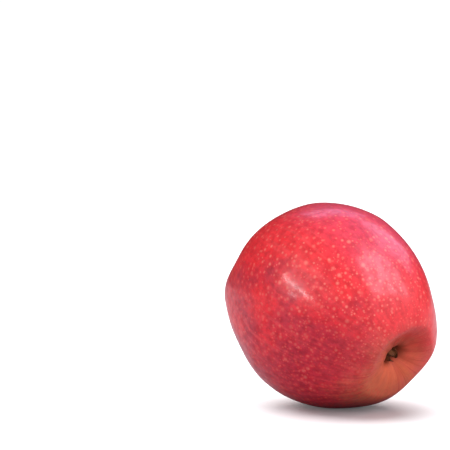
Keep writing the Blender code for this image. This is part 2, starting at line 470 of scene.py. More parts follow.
@dataclass(frozen=True)
class Fruit:
    """The fruit's skin: the turned and swollen form with the small unevenness of a grown thing."""

    form: AppleForm
    place: Place
    inset: float = 0.10 * MM
    lump_depth: float = 0.30 * MM
    lump_length: float = 0.022
    lump_waves: int = 9
    fold_depth: float = 0.28 * MM
    fold_count: int = 10
    fold_reach: tuple[float, float] = (0.0034, 0.0135)
    fold_edges: tuple[float, float] = (1.8, 0.55)
    fold_wander: tuple[float, float] = (0.5, 0.4)
    lump_middle: float = 0.5
    lump_reach: float = 6.0
    rest_softness: float = 0.15 * MM
    seed: int = 7

    def relief(self, points: Array, turns: Array) -> Array:
        """How far the skin lies inside its smooth form, in metres.

        A slow ripple makes flat places and soft lumps, and folds run down into the basin and the cavity
        as cosines of ten times the turn, faded in and out by the distance from the core line.

        Args:
            points: The smooth form in apple coordinates, as (rows, columns, 3).
            turns: The turn of each column.

        Returns:
            Depths as (rows, columns).
        """
        random = np.random.default_rng(self.seed)
        waves = random.normal(size=(self.lump_waves, 3)) * 2 * pi / self.lump_length / np.sqrt(3)
        slow = ripple(points, waves, random.uniform(0, 2 * pi, self.lump_waves))
        radius = np.hypot(points[..., 0], points[..., 1])
        near, far = self.fold_reach
        start, end = self.fold_edges
        inner = smooth_step(radius, near, start * near) * (1 - smooth_step(radius, end * far, far))
        wander = self.fold_wander[0] * np.sin(3 * turns + 1.0) + self.fold_wander[1] * np.sin(2 * turns)
        folds = 0.5 + 0.5 * np.cos(self.fold_count * turns + wander)
        lumps = self.lump_depth * (self.lump_middle + slow)
        lumps = lumps * smooth_step(radius, near, self.lump_reach * near)
        return self.inset + lumps + self.fold_depth * inner * folds

    def build(self) -> bpy.types.Object:
        """Makes the skin, set down on its flat spot.

        Each point moves inwards along the cross product of the surface's two directions by its relief.
        Below the rest level the height h becomes (h + root of (h squared + softness squared)) / 2.

        Returns:
            The skin.
        """
        points, turns, along = self.form.turned(SKIN_DIVISION)
        down_rows = np.gradient(points, axis=0)
        round_ring = (np.roll(points, -1, axis=1) - np.roll(points, 1, axis=1)) / 2
        outward = np.cross(down_rows, round_ring)
        outward /= np.maximum(np.linalg.norm(outward, axis=-1, keepdims=True), TINY)
        sunk = points - outward * self.relief(points, turns)[..., None]
        rings = self.place.world(sunk)[1:-1]
        height = rings[..., 2]
        rings[..., 2] = (height + np.hypot(height, self.rest_softness)) / 2
        body_points, faces = ring_body(rings)
        return make_piece("skin", body_points, faces, ring_marks(turns, along[1:-1]))


@dataclass(frozen=True)
class Stem:
    """The woody stalk in the stem cavity: flared at its foot and at its torn end, ridged along its length."""

    form: AppleForm
    place: Place
    length: float = 0.0105
    radius: float = 0.0012
    foot_flare: float = 0.0005
    tip_flare: float = 0.0006
    bend: float = 0.0016
    ridge_depth: float = 0.09 * MM
    ridge_count: int = 6
    ridge_wander: tuple[float, float, float] = (0.8, 2.4, 0.5)
    ridge_unevenness: float = 0.7
    bump_waves: int = 12
    bump_length: float = 0.0016
    ridge_share: float = 0.6
    bump_share: float = 0.9
    inset: float = 0.02 * MM
    tip_share: float = 0.05
    dent: float = 0.25 * MM
    shaft_rows: int = 90
    tip_rows: int = 10
    columns: int = 56
    seed: int = 3

    def build(self) -> bpy.types.Object:
        """Makes the stalk and its slightly hollow torn end.

        The radius is radius + foot flare * (1-t)^3 + tip flare * t^6, less ridges that wander round as
        they run and small swellings. The end closes over rings whose radius falls to nothing.

        Returns:
            The stalk.
        """
        t = np.linspace(0.0, 1.0, self.shaft_rows)
        turns = np.arange(self.columns) * 2 * pi / self.columns
        spine = np.stack([self.bend * t**2, 0 * t, self.form.stem_root - self.length * t], axis=-1)
        width = self.radius + self.foot_flare * (1 - t) ** 3 + self.tip_flare * t**6
        swing, speed, start = self.ridge_wander
        wander = swing * np.sin(speed * t + start)[:, None]
        uneven = self.ridge_unevenness * np.sin(2 * turns)
        ridges = 0.5 + 0.5 * np.cos(self.ridge_count * (turns[None] + wander) + uneven)
        random = np.random.default_rng(self.seed)
        shaft = carried(spine, np.ones_like(t), np.ones_like(t), np.array([0.0, 1.0, 0.0]), self.columns)
        rays = shaft - spine[:, None]
        waves = random.normal(size=(self.bump_waves, 3)) * 2 * pi / self.bump_length
        phases = random.uniform(0, 6, self.bump_waves)
        bumps = 0.5 + 0.5 * ripple(spine[:, None] + rays * width[:, None, None], waves, phases)
        depth = self.ridge_depth * (self.ridge_share * ridges + self.bump_share * bumps) + self.inset
        shaft = spine[:, None] + rays * (width[:, None] - depth)[..., None]
        share = np.linspace(1.0, 0.0, self.tip_rows + 2)[1:-1]
        rim = shaft[-1] - spine[-1]
        bowl = self.dent * (1 - share**2)
        tip = spine[-1] + rim[None] * share[:, None, None] + np.array([0.0, 0.0, 1.0]) * bowl[:, None, None]
        rings = self.place.world(np.concatenate([shaft, tip]))
        foot_share = 1 - self.tip_share
        along = np.concatenate([t * foot_share, foot_share + self.tip_share * (1 - share)])
        points, faces = ring_body(rings)
        return make_piece("stem_wood", points, faces, ring_marks(turns, along))


@dataclass(frozen=True)
class Calyx:
    """What is left of the flower in the eye: five dried sepals and the tuft of stamens."""

    form: AppleForm
    place: Place
    sepal_count: int = 5
    sepal_width: float = 0.0027
    sepal_thickness: float = 0.0004
    sepal_height: float = 0.0030
    sepal_foot: float = 0.0021
    sepal_swing: float = 0.0008
    tip_radii: tuple[float, ...] = (0.0016, 0.0020, 0.0014, 0.0022, 0.0018)
    first_turn: float = 12.0
    twist: float = 18.0
    sepal_taper: tuple[float, float, float, float] = (0.12, 0.7, 0.85, 0.6)
    sepal_notch: tuple[float, float] = (0.03, 21.0)
    sepal_thinning: tuple[float, float] = (0.72, 0.4)
    foot_rise: float = 0.0004
    curl: float = 0.10 * MM
    rib: float = 0.05 * MM
    rib_width: float = 0.2
    crinkle: float = 0.035 * MM
    crinkle_waves: tuple[float, float] = (4.2, 17.0)
    sepal_rows: int = 44
    sepal_columns: int = 28
    root_gap: float = 0.3 * MM
    tuft_radius: float = 0.0009
    pad_height: float = 0.0004
    pad_dome: tuple[float, float] = (1.6, 0.8)
    pad_roundness: float = 0.98
    pad_rows: int = 9
    pad_columns: int = 24
    pad_mark: float = 0.15
    tube_rows: int = 16
    tube_mark: float = 0.2
    filament_count: int = 16
    filament_columns: int = 8
    filament_turn: float = 0.25
    filament_lengths: tuple[float, float] = (0.8, 1.0)
    filament_ring: float = 0.62
    filament_leans: tuple[float, float] = (0.4, 1.0)
    filament_sway: float = 0.10 * MM
    sway_waves: tuple[float, float] = (0.4, 0.8)
    filament_foot: float = 0.15 * MM
    filament_taper: float = 0.3
    filament_flatness: float = 0.8
    filament_radius: float = 0.075 * MM
    filament_height: float = 0.0020
    filament_spread: float = 0.0004
    anther_radius: float = 0.15 * MM
    anther: tuple[float, float] = (0.93, 0.07)
    style_height: float = 0.0018
    style_radius: float = 0.16 * MM
    style_sway: float = 0.08 * MM
    style_columns: int = 12
    stigma: float = 0.05 * MM
    stigma_place: tuple[float, float] = (0.97, 0.1)
    swing_heights: tuple[float, float] = (0.4, 0.8)
    seed: int = 11

    def leaf_outline(self, t: Array, number: int) -> Array:
        """The middle line of a sepal as (radius, height) in apple coordinates.

        It is the cubic Bezier curve from the foot, bulging outwards, back over the foot and in to the
        tip, which reaches in as far as this sepal's tip radius says.

        Args:
            t: The share along the sepal of each point.
            number: Which sepal, from 0.

        Returns:
            The points, as (rows, 2).
        """
        foot = np.array([self.sepal_foot, self.form.eye_floor + self.foot_rise + self.root_gap])
        out = foot + (self.sepal_swing, self.swing_heights[0] * self.sepal_height)
        back = foot + (0.0, self.swing_heights[1] * self.sepal_height)
        tip = np.array([self.tip_radii[number], foot[1] + self.sepal_height])
        s = t[:, None]
        return (1 - s) ** 3 * foot + 3 * (1 - s) ** 2 * s * out + 3 * (1 - s) * s**2 * back + s**3 * tip

    def sepal(self, number: int) -> bpy.types.Object:
        """Makes one dried sepal: a narrow leaf with a mid rib, hollow along its middle and crinkled.

        Half its width is width/2 * (0.12 + 0.88 (1-t)^0.7 (0.85 + 0.6 t)), and its points shift along
        the radius by a curl that grows with the square of the distance from the mid rib, plus ripples.

        Args:
            number: Which sepal, from 0.

        Returns:
            The sepal.
        """
        t = np.linspace(0.0, 1.0, self.sepal_rows)
        line = self.leaf_outline(t, number)
        line[0, 1] -= self.root_gap
        spine = np.stack([line[:, 0], 0 * t, line[:, 1]], axis=-1)
        tip, power, foot, belly = self.sepal_taper
        wide = self.sepal_width / 2 * (tip + (1 - tip) * (1 - t) ** power * (foot + belly * t))
        notch, notches = self.sepal_notch
        wide *= 1 - notch + notch * np.sin(notches * t + 2 * number)
        deep = self.sepal_thickness / 2 * (self.sepal_thinning[0] - self.sepal_thinning[1] * t)
        turned = radians(self.twist)
        side = np.array([sin(turned), cos(turned), 0.0])
        rings = carried(spine, wide, deep, side, self.sepal_columns)
        s = np.arange(self.sepal_columns) * 2 * pi / self.sepal_columns
        share = np.cos(s)[None]
        curl = self.curl * share**2 - self.rib * bell(share, 0.0, self.rib_width)
        across, lengthwise = self.crinkle_waves
        crinkle = self.crinkle * np.sin(across * share + lengthwise * t[:, None] + number) * np.abs(share)
        rings[..., 0] -= (curl + crinkle) * np.sin(pi * t)[:, None]
        angle = radians(self.first_turn + (number + 1) * 360 / self.sepal_count)
        spun = np.array([[cos(angle), -sin(angle), 0.0], [sin(angle), cos(angle), 0.0], [0.0, 0.0, 1.0]])
        points, faces = ring_body(self.place.world(rings @ spun.T))
        return make_piece(f"sepal_leaf_{number + 1}", points, faces, ring_marks(s, t))

    def stamens(self) -> bpy.types.Object:
        """Makes the tuft: a low domed pad, a style, and bent filaments that each end in a dried anther.

        A filament's radius is the filament radius, swelling to the anther radius along a bell curve
        near its tip. Its path leans outwards by the square of the share along it and wavers a little.

        Returns:
            The tuft, as one piece.
        """
        random = np.random.default_rng(self.seed)
        floor = self.form.eye_floor
        dome = np.linspace(0.0, 1.0, self.pad_rows)
        height, power = self.pad_dome
        pad_spine = np.stack([0 * dome, 0 * dome, floor + self.pad_height * height * dome**power], axis=-1)
        pad_width = self.tuft_radius * np.sqrt(1 - self.pad_roundness * dome**2)
        side = np.array([0.0, 1.0, 0.0])
        pad = carried(pad_spine, pad_width, pad_width, side, self.pad_columns)
        t = np.linspace(0.0, 1.0, self.tube_rows)
        marked = self.tube_mark + (1 - self.tube_mark) * t
        sideways = self.style_sway * np.sin(3 * t)
        style_line = np.stack([sideways, 0 * t, floor + self.style_height * t], axis=-1)
        style_width = self.style_radius + self.stigma * bell(t, *self.stigma_place)
        style = carried(style_line, style_width, style_width, side, self.style_columns)
        tubes = [(pad, self.pad_mark * dome), (style, marked)]
        for count in range(self.filament_count):
            stray = random.uniform(-self.filament_turn, self.filament_turn)
            turn = (count + stray) * 2 * pi / self.filament_count
            tall = self.filament_height * random.uniform(*self.filament_lengths)
            lean = self.filament_spread * random.uniform(*self.filament_leans)
            reach = self.filament_ring * self.tuft_radius + lean * t**2
            waves = random.uniform(*self.sway_waves)
            sway = self.filament_sway * np.sin(2 * pi * t * waves) * random.choice((-1, 1))
            out, round_way = np.array([cos(turn), sin(turn), 0.0]), np.array([-sin(turn), cos(turn), 0.0])
            line = reach[:, None] * out + sway[:, None] * round_way
            line[:, 2] = floor + self.filament_foot + tall * t
            width = self.filament_radius * (1 - self.filament_taper * t)
            swelling = self.anther_radius - (1 - self.filament_taper) * self.filament_radius
            width += swelling * bell(t, *self.anther)
            flat = self.filament_flatness * width
            tubes.append((carried(line, width, flat, round_way, self.filament_columns), marked))
        points, faces = gathered([ring_body(self.place.world(rings)) for rings, _ in tubes])
        marks = []
        for rings, along in tubes:
            turns = np.arange(rings.shape[1]) * 2 * pi / rings.shape[1]
            marks.append(ring_marks(turns, along))
        return make_piece("stamen_tuft", points, faces, np.vstack(marks))


def linear(colour: Colour) -> tuple[float, float, float, float]:
    """A screen colour as the linear colour that a shader takes, by the sRGB curve.

    Args:
        colour: Red, green and blue from 0 to 255.

    Returns:
        The three linear channels and an alpha of 1.
    """
    parts = []
    for channel in colour:
        share = channel / 255.0
        parts.append(share / 12.92 if share <= 0.04045 else ((share + 0.055) / 1.055) ** 2.4)
    return (*parts, 1.0)


class Graph:
    """Short ways to place and join the nodes of one node tree."""

    def __init__(self, tree: bpy.types.NodeTree) -> None:
        """Keeps the tree that the nodes go into."""
        self.tree = tree

    def add(self, kind: str, **settings: object) -> bpy.types.Node:
        """Places a node and sets its properties.

        Args:
            kind: The node's type name after "ShaderNode".
            settings: Properties of the node, by name.

        Returns:
            The node.
        """
        node = self.tree.nodes.new(f"ShaderNode{kind}")
        for name, setting in settings.items():
            setattr(node, name, setting)
        return node

    def feed(self, socket: Socket, value: Value) -> None:
        """Joins another node's output to a socket, or sets the socket's own value.

        Args:
            socket: The input socket.
            value: The output to join, or the value to set.
        """
        if isinstance(value, bpy.types.NodeSocket):
            self.tree.links.new(value, socket)
        else:
            socket.default_value = value

    def fed(self, kind: str, values: tuple[Value, ...], **settings: object) -> bpy.types.Node:
        """Places a node and feeds its first inputs.

        Args:
            kind: The node's type name after "ShaderNode".
            values: What its first inputs take, in order.
            settings: Properties of the node, by name.

        Returns:
            The node.
        """
        node = self.add(kind, **settings)
        for socket, value in zip(node.inputs, values):
            self.feed(socket, value)
        return node

    def math(self, operation: str, *values: Value) -> Socket:
        """The result of a Math node."""
        return self.fed("Math", values, operation=operation).outputs[0]

    def times(self, *values: Value) -> Socket:
        """The product of two or more numbers."""
        return reduce(partial(self.math, "MULTIPLY"), values)

    def plus(self, *values: Value) -> Socket:
        """The sum of two or more numbers."""
        return reduce(partial(self.math, "ADD"), values)

    def swing(self, value: Value, reach: float) -> Socket:
        """A number from 0 to 1 made to swing round 0, as far as reach from end to end."""
        return self.times(self.math("SUBTRACT", value, 0.5), reach)

    def vector(self, operation: str, *values: Value) -> bpy.types.NodeOutputs:
        """The outputs of a Vector Math node."""
        return self.fed("VectorMath", values, operation=operation).outputs

    def dot(self, first: Value, second: Value) -> Socket:
        """The dot product of two vectors."""
        return self.vector("DOT_PRODUCT", first, second)["Value"]

    def scaled(self, vector: Socket, factor: Value) -> Socket:
        """A vector times a number.

        Args:
            vector: The vector.
            factor: The number.

        Returns:
            The product.
        """
        node = self.fed("VectorMath", (vector,), operation="SCALE")
        self.feed(node.inputs["Scale"], factor)
        return node.outputs[0]

    def spread(self, value: Value, ramp: Numbers) -> Socket:
        """Maps a ramp's (low, high) to 0..1, or to its third and fourth numbers, along a smooth step."""
        return self.fed("MapRange", (value, *ramp), interpolation_type="SMOOTHSTEP").outputs[0]

    def noise(self, vector: Socket, pattern: Numbers) -> Socket:
        """A noise value from 0 to 1.

        Args:
            vector: Where the noise is read.
            pattern: Its scale, detail and roughness.

        Returns:
            The value.
        """
        node = self.fed("TexNoise", (vector,))
        for name, number in zip(("Scale", "Detail", "Roughness"), pattern):
            node.inputs[name].default_value = number
        return node.outputs[0]

    def mix(self, share: Value, first: Value, second: Value, blend: str = "MIX") -> Socket:
        """Mixes two colours.

        Args:
            share: The second colour's share.
            first: The first colour.
            second: The second colour.
            blend: How the second meets the first.

        Returns:
            The colour.
        """
        node = self.add("Mix", data_type="RGBA", blend_type=blend)
        self.feed(node.inputs[0], share)
        self.feed(node.inputs[6], first)
        self.feed(node.inputs[7], second)
        return node.outputs[2]

    def over(self, colour: Socket, share: Value, paint: Colour) -> Socket:
        """Lays a paint over a colour."""
        return self.mix(share, colour, linear(paint))

    def group(self, tree: bpy.types.NodeTree, **values: Value) -> bpy.types.NodeOutputs:
        """Places a node group.

        Args:
            tree: The group.
            values: What its inputs take, by name.

        Returns:
            Its outputs.
        """
        node = self.add("Group")
        node.node_tree = tree
        for name, value in values.items():
            self.feed(node.inputs[name], value)
        return node.outputs


class Effect:
    """A shader effect kept as a node group, with named inputs and outputs."""

    def __init__(self, name: str, inputs: dict[str, object], outputs: tuple[str, ...]) -> None:
        """Makes the empty group.

        Args:
            name: The group's name.
            inputs: Each input's name, with "vector" or its starting number.
            outputs: The names of the outputs, which are all numbers.
        """
        self.tree = bpy.data.node_groups.new(name, "ShaderNodeTree")
        for label, start in inputs.items():
            kind = "NodeSocketVector" if start == "vector" else "NodeSocketFloat"
            socket = self.tree.interface.new_socket(label, in_out="INPUT", socket_type=kind)
            if kind == "NodeSocketFloat":
                socket.default_value = start
        for label in outputs:
            self.tree.interface.new_socket(label, in_out="OUTPUT", socket_type="NodeSocketFloat")
        self.graph = Graph(self.tree)
        self.inputs = self.tree.nodes.new("NodeGroupInput").outputs
        self.results = self.tree.nodes.new("NodeGroupOutput").inputs


@dataclass(frozen=True)
class Dots:
    """Scattered round dots, one at most in each cell of a jittered grid in space.

    A cell's random point is dropped square onto the surface: with offset q from here to it and normal n,
    depth is |q . n| and distance is the length of q - (q . n) n. A dot reaches Radius * (1 - depth / Depth)
    times a random size, so deep points give small dots and then none.
    """

    jitter: float = 0.9
    depth: float = 0.5
    full_size: Numbers = (0.0, 0.6)
    sizes: Numbers = (0.0, 1.0, 0.65, 1.25)
    smallest: float = 0.001
    dot_edge: Numbers = (1.15, 0.10)
    halo_edge: Numbers = (2.2, 0.8)

    def make(self) -> bpy.types.NodeTree:
        """Builds the group.

        Returns:
            The group, with the outputs Dot, Halo (a wider, softer disc) and Tone (a random value per dot).
        """
        inputs = {"Vector": "vector", "Normal": "vector", "Spacing": 3.0, "Radius": 0.4, "Share": 1.0}
        effect = Effect("dots", inputs, ("Dot", "Halo", "Tone"))
        g, here, normal = effect.graph, effect.inputs["Vector"], effect.inputs["Normal"]
        cells = g.add("TexVoronoi", feature="F1", voronoi_dimensions="3D")
        g.feed(cells.inputs["Vector"], here)
        g.feed(cells.inputs["Scale"], g.math("DIVIDE", 1.0, effect.inputs["Spacing"]))
        cells.inputs["Randomness"].default_value = self.jitter
        tone = g.fed("SeparateColor", (cells.outputs["Color"],)).outputs
        offset = g.vector("SUBTRACT", cells.outputs["Position"], here)[0]
        deep = g.dot(offset, normal)
        beside = g.vector("LENGTH", g.vector("SUBTRACT", offset, g.scaled(normal, deep))[0])["Value"]
        sunk = g.math("DIVIDE", g.math("ABSOLUTE", deep), g.times(effect.inputs["Spacing"], self.depth))
        shallow = g.math("MAXIMUM", g.math("SUBTRACT", 1.0, sunk), 0.0)
        size = g.times(g.spread(shallow, self.full_size), g.spread(tone[1], self.sizes))
        reach = g.math("MAXIMUM", g.times(effect.inputs["Radius"], size), self.smallest)
        nearness = g.math("DIVIDE", beside, reach)
        kept = g.math("LESS_THAN", tone[0], effect.inputs["Share"])
        g.feed(effect.results["Dot"], g.times(g.spread(nearness, self.dot_edge), kept))
        g.feed(effect.results["Halo"], g.times(g.spread(nearness, self.halo_edge), kept))
        g.feed(effect.results["Tone"], tone[2])
        return effect.tree


def streaks_effect() -> bpy.types.NodeTree:
    """Streaks that run along the half sections: noise read on (ring * around, along * length).

    The ring part of the meridian vector is a unit circle, so the streaks meet without a seam, draw
    together at both ends, and stay as long as the length value says.

    Returns:
        The group, with one output, Streak, from 0 to 1.
    """
    inputs = {"Meridian": "vector", "Around": 10.0, "Length": 3.0, "Detail": 3.0}
    effect = Effect("streaks", inputs, ("Streak",))
    g = effect.graph
    parts = g.fed("SeparateXYZ", (effect.inputs["Meridian"],)).outputs
    factors = [effect.inputs[name] for name in ("Around", "Around", "Length")]
    place = g.fed("CombineXYZ", tuple(g.times(part, factor) for part, factor in zip(parts, factors)))
    field_node = g.add("TexNoise")
    g.feed(field_node.inputs["Vector"], place.outputs[0])
    g.feed(field_node.inputs["Detail"], effect.inputs["Detail"])
    field_node.inputs["Scale"].default_value = 1.0
    g.feed(effect.results["Streak"], field_node.outputs[0])
    return effect.tree


@dataclass(frozen=True)
class Grain:
    """Fine unevenness at two sizes, a millimetre or so and a third of it, for bumps and for tone."""

    large: Numbers = (1.0, 2.0, 0.55)
    small: Numbers = (3.1, 2.0, 0.6)
    large_share: float = 0.6
    small_share: float = 0.4

    def make(self) -> bpy.types.NodeTree:
        """Builds the group.

        Returns:
            The group, with one output, Grain, from 0 to 1.
        """
        effect = Effect("grain", {"Vector": "vector", "Scale": 1.0}, ("Grain",))
        g = effect.graph
        place = g.scaled(effect.inputs["Vector"], effect.inputs["Scale"])
        large = g.times(g.noise(place, self.large), self.large_share)
        small = g.times(g.noise(place, self.small), self.small_share)
        g.feed(effect.results["Grain"], g.plus(large, small))
        return effect.tree


@dataclass(frozen=True)
class Effects:
    """The node groups that the finishes share."""

    dots: bpy.types.NodeTree
    streaks: bpy.types.NodeTree
    grain: bpy.types.NodeTree

    @classmethod
    def make(cls) -> "Effects":
        """Builds each group once."""
        return cls(Dots().make(), streaks_effect(), Grain().make())


class Surface(Graph):
    """A new material: its graph and its Principled shader."""

    def __init__(self, name: str) -> None:
        """Makes the material.

        Args:
            name: The material's name.
        """
        self.material = bpy.data.materials.new(name)
        self.material.use_nodes = True
        super().__init__(self.material.node_tree)
        self.shader = self.tree.nodes["Principled BSDF"]

    def dress(self, socket: str, value: Value) -> None:
        """Feeds one of the shader's sockets."""
        self.feed(self.shader.inputs[socket], value)

    def raise_bump(self, height: Socket, distance: float) -> None:
        """Joins a height to the shader's normal.

        Args:
            height: The height, from 0 to 1.
            distance: How far 1 stands up, in metres.
        """
        bump = self.add("Bump")
        bump.inputs["Distance"].default_value = distance
        self.feed(bump.inputs["Height"], height)
        self.dress("Normal", bump.outputs[0])


class PieceSurface(Surface):
    """A piece's material, with the fields that its finish reads.

    They are the stored meridian vector, the share along the piece, and the place in millimetres.
    """

    def __init__(self, name: str, effects: Effects) -> None:
        """Makes the material and its fields.

        Args:
            name: The material's name.
            effects: The shared effects.
        """
        super().__init__(name)
        self.effects = effects
        self.meridian = self.add("Attribute", attribute_name="meridian").outputs["Vector"]
        self.along = self.fed("SeparateXYZ", (self.meridian,)).outputs[2]
        self.place = self.scaled(self.add("TexCoord").outputs["Object"], 1.0 / MM)

    def streaks(self, pattern: Numbers) -> Socket:
        """Streaks along the half sections, from 0 to 1, by their Around, Length and Detail."""
        values = dict(zip(("Around", "Length", "Detail"), pattern))
        return self.group(self.effects.streaks, Meridian=self.meridian, **values)[0]

    def grain(self, scale: float) -> Socket:
        """Fine unevenness, from 0 to 1."""
        return self.group(self.effects.grain, Vector=self.place, Scale=scale)[0]

    def dots(self, pattern: Numbers) -> bpy.types.NodeOutputs:
        """Scattered dots, by their Spacing and Radius in millimetres and their Share.

        Args:
            pattern: The spacing, the radius and the share.

        Returns:
            The outputs Dot, Halo and Tone.
        """
        values = dict(zip(("Spacing", "Radius", "Share"), pattern))
        normal = self.add("NewGeometry").outputs["Normal"]
        return self.group(self.effects.dots, Vector=self.place, Normal=normal, **values)

    def towards(self, turn: float) -> Socket:
        """How far a point faces a turn angle: 1 on that side, -1 on the far side."""
        return self.dot(self.meridian, (cos(radians(turn)), sin(radians(turn)), 0.0))


@dataclass(frozen=True)
class LenticelLayer:
    """One size of the pale breathing pores, in millimetres, and where they start and end along the skin."""

    dots: Numbers
    starts: Numbers
    ends: Numbers
    strength: float


LENTICELS = (
    LenticelLayer((3.9, 0.86, 0.95), (0.20, 0.36), (0.97, 0.90), 0.72),
    LenticelLayer((2.7, 0.66, 0.95), (0.10, 0.17), (0.94, 0.86), 0.62),
    LenticelLayer((1.8, 0.44, 0.92), (0.085, 0.14), (0.52, 0.36), 0.50),
)
# Where the crimson is strongest: partly the skin's own deeper red, partly painted shade on the lower side.
CRIMSON_SHADE_SIDE = 312.0
WARM_SIDE = 342.0
VIVID = (234, 18, 31)


@dataclass(frozen=True)
class RedLayer:
    """The fully coloured skin: vivid red, crimson towards one side, partly painted shade, and dark and rosy
    streaks.
    """

    # Crimson: partly the skin's own deeper red, partly painted shade towards the lower side and the calyx
    # end.
    crimson: Colour = (186, 12, 44)
    deep: Colour = (150, 8, 38)
    rosy: Colour = (238, 78, 78)
    fine: Numbers = (15.0, 3.4, 4.0)
    broad: Numbers = (6.0, 1.6, 3.0)
    patch: Numbers = (0.075, 3.0, 0.55)
    patch_swing: float = 1.3
    crimson_pull: float = 0.62
    crimson_from: float = 0.42
    crimson_fall: float = 0.9
    crimson_edge: Numbers = (0.05, 0.62)
    dark_edge: Numbers = (0.52, 0.70)
    dark_along: Numbers = (0.74, 0.90, 0.10, 0.75)
    blotches: Numbers = (0.55, 0.75, 0.0, 0.22)
    pale_streaks: Numbers = (0.48, 0.30, 0.0, 0.30)
    rosy_end: Numbers = (0.36, 0.12, 0.0, 0.55)

    def colour(self, g: PieceSurface) -> Socket:
        """Builds the layer.

        Args:
            g: The skin's surface.

        Returns:
            The colour.
        """
        fine, broad = g.streaks(self.fine), g.streaks(self.broad)
        # Share of crimson, partly the skin's own colour and partly painted shade, rising towards the lower
        # side and the calyx end.
        crimson_shade_share = g.plus(
            g.times(g.towards(CRIMSON_SHADE_SIDE), self.crimson_pull),
            g.times(g.math("SUBTRACT", self.crimson_from, g.along), self.crimson_fall),
            g.swing(g.noise(g.place, self.patch), self.patch_swing),
        )
        colour = g.mix(g.spread(crimson_shade_share, self.crimson_edge), linear(VIVID), linear(self.crimson))
        dark = g.times(g.spread(fine, self.dark_edge), g.spread(g.along, self.dark_along))
        colour = g.over(colour, dark, self.deep)
        colour = g.over(colour, g.spread(broad, self.blotches), self.deep)
        colour = g.over(colour, g.spread(fine, self.pale_streaks), self.rosy)
        return g.over(colour, g.spread(g.along, self.rosy_end), self.rosy)


@dataclass(frozen=True)
class GroundLayer:
    """The unblushed skin: salmon and orange at the calyx end, straw yellow and flame at the stem end."""

    salmon: Colour = (228, 106, 92)
    orange: Colour = (226, 122, 86)
    ember: Colour = (214, 100, 64)
    vein: Colour = (190, 58, 56)
    # Painted shade: the dark brown laid deep in the basin and further up its upper wall, where the lip shades
    # it.
    basin: Colour = (156, 72, 48)
    straw: Colour = (226, 184, 106)
    flame: Colour = (238, 154, 94)
    shaded_side: float = 200.0
    rays: Numbers = (9.0, 6.0, 3.0)
    threads: Numbers = (24.0, 4.0, 3.0)
    warm_pull: float = 0.25
    orange_edge: Numbers = (0.30, 0.85)
    flame_edge: Numbers = (0.40, 0.62)
    ember_end: Numbers = (0.145, 0.080, 0.0, 0.65)
    vein_edge: Numbers = (0.50, 0.70, 0.0, 0.45)
    shaded_pull: float = -0.030
    ray_pull: float = 0.03
    # Painted shade: how far the basin's dark brown reaches up the wall.
    basin_shade_end: Numbers = (0.100, 0.045, 0.0, 0.90)
    stem_end: Numbers = (0.35, 0.75)

    def colour(self, g: PieceSurface) -> Socket:
        """Builds the layer.

        Args:
            g: The skin's surface.

        Returns:
            The colour.
        """
        rays = g.streaks(self.rays)
        orange = g.spread(g.plus(rays, g.times(g.towards(WARM_SIDE), self.warm_pull)), self.orange_edge)
        calyx = g.mix(orange, linear(self.salmon), linear(self.orange))
        stem = g.mix(g.spread(rays, self.flame_edge), linear(self.straw), linear(self.flame))
        calyx = g.over(calyx, g.spread(g.along, self.ember_end), self.ember)
        calyx = g.over(calyx, g.spread(g.streaks(self.threads), self.vein_edge), self.vein)
        # Painted shade: dark brown deep in the basin, reaching further up the wall on its shaded upper side.
        shaded = g.times(g.towards(self.shaded_side), self.shaded_pull)
        basin_shade_reach = g.plus(g.along, shaded, g.times(rays, self.ray_pull))
        calyx = g.over(calyx, g.spread(basin_shade_reach, self.basin_shade_end), self.basin)
        return g.mix(g.spread(g.along, self.stem_end), calyx, stem)


@dataclass(frozen=True)
class Blush:
    """How much of the red covers the ground: it fades in streaks towards both ends and on the shaded side."""

    red_side: float = 245.0
    fine: Numbers = (22.0, 5.0, 3.0)
    broad: Numbers = (4.5, 1.1, 4.0)
    patch: Numbers = (0.13, 3.0, 0.6)
    warm_pull: float = -0.040
    jag: float = 0.075
    patch_swing: float = 0.16
    calyx_edge: Numbers = (0.080, 0.230)
    stem_jag: float = 0.35
    stem_edge: Numbers = (0.95, 0.80)
    red_pull: float = -0.16
    open_from: float = 0.55
    open_rise: float = 0.5
    flame_edge: Numbers = (0.66, 0.86)
    flame_start: Numbers = (0.30, 0.5)
    flame_strength: float = 0.55

    def share(self, g: PieceSurface) -> Socket:
        """Works out the cover.

        Args:
            g: The skin's surface.

        Returns:
            The red's share, from 0 to 1.
        """
        fine, broad = g.streaks(self.fine), g.streaks(self.broad)
        warm = g.times(g.towards(WARM_SIDE), self.warm_pull)
        drift = g.swing(g.noise(g.place, self.patch), self.patch_swing)
        calyx_end = g.spread(g.plus(g.along, warm, g.swing(fine, self.jag), drift), self.calyx_edge)
        jag = g.swing(fine, self.stem_jag)
        stem_end = g.spread(g.plus(g.along, jag), self.stem_edge)
        shade = g.times(g.towards(self.red_side), self.red_pull)
        height = g.times(g.math("SUBTRACT", g.along, self.open_from), self.open_rise)
        flames = g.spread(g.plus(broad, shade, height, jag), self.flame_edge)
        flames = g.times(flames, g.spread(g.along, self.flame_start), self.flame_strength)
        return g.times(calyx_end, stem_end, g.math("SUBTRACT", 1.0, flames))


